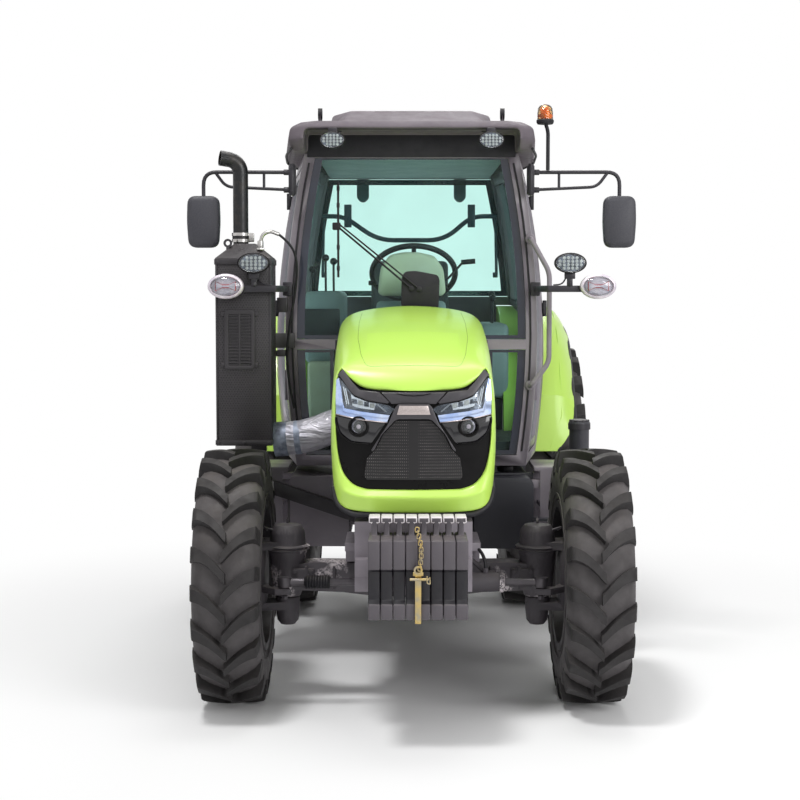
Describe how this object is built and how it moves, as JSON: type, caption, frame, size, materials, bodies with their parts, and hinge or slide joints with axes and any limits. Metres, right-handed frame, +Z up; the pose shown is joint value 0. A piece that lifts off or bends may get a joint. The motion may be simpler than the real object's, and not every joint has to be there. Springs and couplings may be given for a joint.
{
  "type": "farm tractor",
  "caption": "Four-wheel-drive farm tractor with closed cab, one-piece hood, lugged tyres, front weights, upright exhaust box and rear three-point linkage.",
  "frame": {"origin": "on the ground, in the middle of the length over the front weights and lower links and of the width over the mirrors", "axes": "+Z up, the front faces -Y, +X is the tractor's left"},
  "size_m": [2.127, 4.1034, 2.6896],
  "materials": {
    "lime_paint": "gloss",
    "dark_paint": "satin",
    "cast_block": "satin",
    "bright_steel": "polished",
    "zinc_plate": "satin",
    "black_plastic": "satin",
    "roof_plastic": "satin",
    "red_lens": "gloss",
    "clear_lens": "gloss",
    "amber_lens": "gloss",
    "tinted_glass": "gloss",
    "foil_wrap": "rough",
    "tyre_rubber": "matte",
    "seat_cover": "matte"
  },
  "bodies": {
    "chassis": {"beacon": "amber_lens", "cab_floor": "black_plastic", "cab_frame": "dark_paint", "cab_glass": "tinted_glass", "cab_roof": "roof_plastic", "dash_console": "black_plastic", "drawbar": "dark_paint", "driver_seat": "seat_cover", "engine_block": "cast_block", "exhaust_box": "dark_paint", "exhaust_pipe": "foil_wrap", "exhaust_stack": "dark_paint", "fenders": "lime_paint", "front_axle": "dark_paint", "front_support": "dark_paint", "front_weights": "dark_paint", "fuel_tank": "black_plastic", "grab_rail": "dark_paint", "mirrors": "black_plastic", "roof_lamps": "clear_lens", "side_lamps": "clear_lens", "steering_cylinder": "dark_paint", "steps": "dark_paint", "tail_lamps": "red_lens", "transmission": "cast_block", "weight_lock": "zinc_plate", "wiper": "black_plastic"},
    "knuckle_left": {"knuckle_left": "dark_paint"},
    "knuckle_right": {"knuckle_right": "dark_paint"},
    "wheel_front_left": {"tyre_front_left": "tyre_rubber", "rim_front_left": "dark_paint"},
    "wheel_front_right": {"tyre_front_right": "tyre_rubber", "rim_front_right": "dark_paint"},
    "wheel_rear_left": {"tyre_rear_left": "tyre_rubber", "rim_rear_left": "dark_paint"},
    "wheel_rear_right": {"tyre_rear_right": "tyre_rubber", "rim_rear_right": "dark_paint"},
    "steering_rod": {"steering_rod": "bright_steel"},
    "door_left": {"door_left": "dark_paint", "door_glass_left": "tinted_glass"},
    "door_right": {"door_right": "dark_paint", "door_glass_right": "tinted_glass"},
    "hood": {"hood_shell": "lime_paint", "hood_mask": "black_plastic", "headlamps": "clear_lens"},
    "steering_wheel": {"steering_wheel": "black_plastic"},
    "lower_links": {"lower_links": "dark_paint"},
    "lift_arms": {"lift_arms": "dark_paint"},
    "lift_rods": {"lift_rods": "bright_steel"},
    "top_link": {"top_link": "bright_steel"}
  },
  "joints": [
    {"name": "kingpin_left", "type": "hinge", "parent": "chassis", "child": "knuckle_left", "pos_m": [0.545, -1.2, 0.5525], "axis": [0, 0, 1], "range_deg": [-40, 40]},
    {"name": "kingpin_right", "type": "hinge", "parent": "chassis", "child": "knuckle_right", "pos_m": [-0.545, -1.2, 0.5525], "axis": [0, 0, 1], "range_deg": [-40, 40]},
    {"name": "steering_slide", "type": "slide", "parent": "chassis", "child": "steering_rod", "axis": [1, 0, 0], "range_m": [-0.1225, 0.1225]},
    {"name": "wheel_spin_front_left", "type": "hinge", "parent": "knuckle_left", "child": "wheel_front_left", "pos_m": [0.771, -1.2, 0.5525], "axis": [1, 0, 0], "continuous": true},
    {"name": "wheel_spin_front_right", "type": "hinge", "parent": "knuckle_right", "child": "wheel_front_right", "pos_m": [-0.771, -1.2, 0.5525], "axis": [1, 0, 0], "continuous": true},
    {"name": "wheel_spin_rear_left", "type": "hinge", "parent": "chassis", "child": "wheel_rear_left", "pos_m": [0.741, 1.05, 0.7375], "axis": [1, 0, 0], "continuous": true},
    {"name": "wheel_spin_rear_right", "type": "hinge", "parent": "chassis", "child": "wheel_rear_right", "pos_m": [-0.741, 1.05, 0.7375], "axis": [1, 0, 0], "continuous": true},
    {"name": "door_hinge_left", "type": "hinge", "parent": "chassis", "child": "door_left", "pos_m": [0.706, 0.322, 1.7], "axis": [0, 0, 1], "range_deg": [0, 75]},
    {"name": "door_hinge_right", "type": "hinge", "parent": "chassis", "child": "door_right", "pos_m": [-0.706, 0.322, 1.7], "axis": [0, 0, -1], "range_deg": [0, 75]},
    {"name": "hood_hinge", "type": "hinge", "parent": "chassis", "child": "hood", "pos_m": [0, -0.486, 1.722], "axis": [-1, 0, 0], "range_deg": [0, 50]},
    {"name": "steering_wheel_turn", "type": "hinge", "parent": "chassis", "child": "steering_wheel", "pos_m": [0.015, 0.04, 1.88], "axis": [0, 0.6428, 0.766], "continuous": true},
    {"name": "lower_link_hinge", "type": "hinge", "parent": "chassis", "child": "lower_links", "pos_m": [0, 1.16, 0.47], "axis": [1, 0, 0], "range_deg": [-20, 28]},
    {"name": "lift_arm_hinge", "type": "hinge", "parent": "chassis", "child": "lift_arms", "pos_m": [0, 1.16, 1.01], "axis": [1, 0, 0], "range_deg": [-20, 28]},
    {"name": "lift_rod_hinge", "type": "hinge", "parent": "lift_arms", "child": "lift_rods", "pos_m": [0, 1.51978, 0.99744], "axis": [1, 0, 0], "range_deg": [-28, 20]},
    {"name": "top_link_hinge", "type": "hinge", "parent": "chassis", "child": "top_link", "pos_m": [0, 1.29, 0.925], "axis": [1, 0, 0], "range_deg": [-45, 60]}
  ],
  "couplings": [
    {"joint": "kingpin_right", "follows": "kingpin_left", "ratio": 1},
    {"joint": "steering_slide", "follows": "kingpin_left", "m_per_rad": 0.17494},
    {"joint": "lift_arm_hinge", "follows": "lower_link_hinge", "ratio": 1},
    {"joint": "lift_rod_hinge", "follows": "lower_link_hinge", "ratio": -1}
  ]
}
